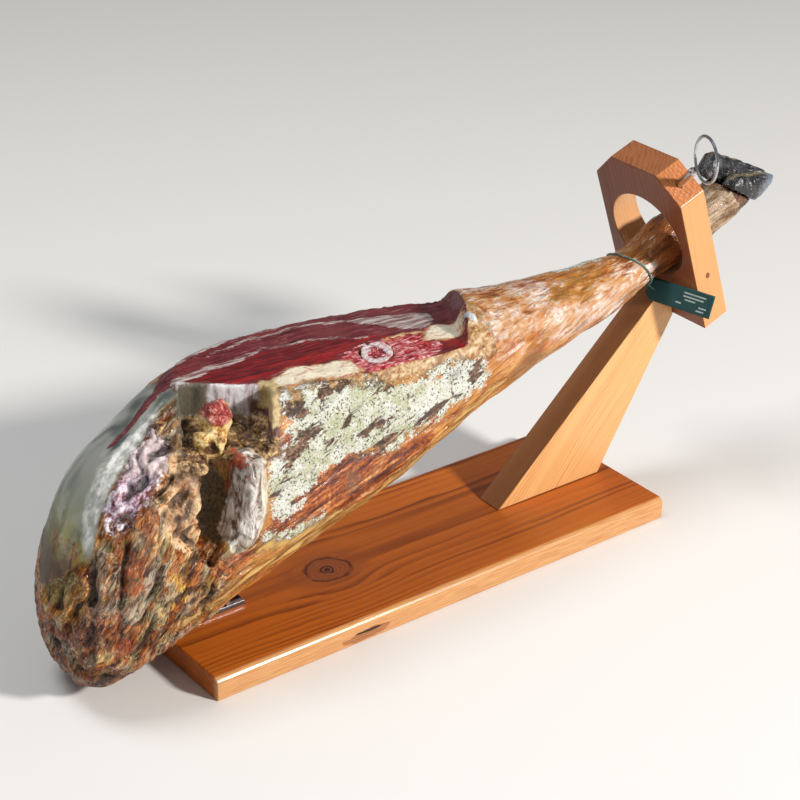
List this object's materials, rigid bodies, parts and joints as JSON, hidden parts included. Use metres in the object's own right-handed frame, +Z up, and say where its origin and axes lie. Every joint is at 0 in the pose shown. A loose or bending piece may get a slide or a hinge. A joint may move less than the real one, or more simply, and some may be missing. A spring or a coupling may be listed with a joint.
{
  "type": "cured ham on a carving stand",
  "caption": "Bone-in cured ham, partly carved, lying in a wooden stand whose upright plate holds the shank through a round hole with a ring-headed clamp screw.",
  "frame": {"origin": "centre of the base board's flat underside", "axes": "+X along the board towards the hoof, +Z up, -Y the side where the ham's inner face and hip bone show"},
  "size_m": [0.8023, 0.1947, 0.377],
  "materials": {
    "board_pine": "varnished orange-brown pine, grain along its length, one large knot",
    "post_pine": "pale varnished pine, straight fine grain",
    "plate_pine": "varnished pine, end grain on top, fine grain at its sides",
    "steel": "bright plated steel",
    "ham_skin": "dry amber and brown rind with white mould bloom, dark red carved face with pale fat",
    "bone": "sawn bone, cream rim and red marrow",
    "horn": "black and grey horn with a tan ridge",
    "green_cord": "thin twisted green cord",
    "green_card": "dark green card with plain pale bars"
  },
  "bodies": {
    "stand": {"base_board": "board_pine", "post": "post_pine", "head_plate": "plate_pine", "spike_bar": "steel", "ham": "ham_skin", "thigh_bone": "bone", "hip_bone": "bone", "claw_far": "horn", "claw_near": "horn", "tag_string": "green_cord", "tag": "green_card"},
    "screw": {"clamp_screw": "steel"},
    "ring": {"ring_handle": "steel"}
  },
  "joints": [
    {"name": "screw_travel", "type": "slide", "parent": "stand", "child": "screw", "axis": [-0.2534, -0.7071, 0.6601], "range_m": [-0.0075, 0.0125]},
    {"name": "ring_turn", "type": "hinge", "parent": "screw", "child": "ring", "pos_m": [0.25857, -0.08282, 0.35489], "axis": [-0.2534, -0.7071, 0.6601], "range_deg": [-2170, 3610]}
  ],
  "couplings": [
    {"joint": "ring_turn", "follows": "screw_travel", "rad_per_m": 5026.5}
  ]
}
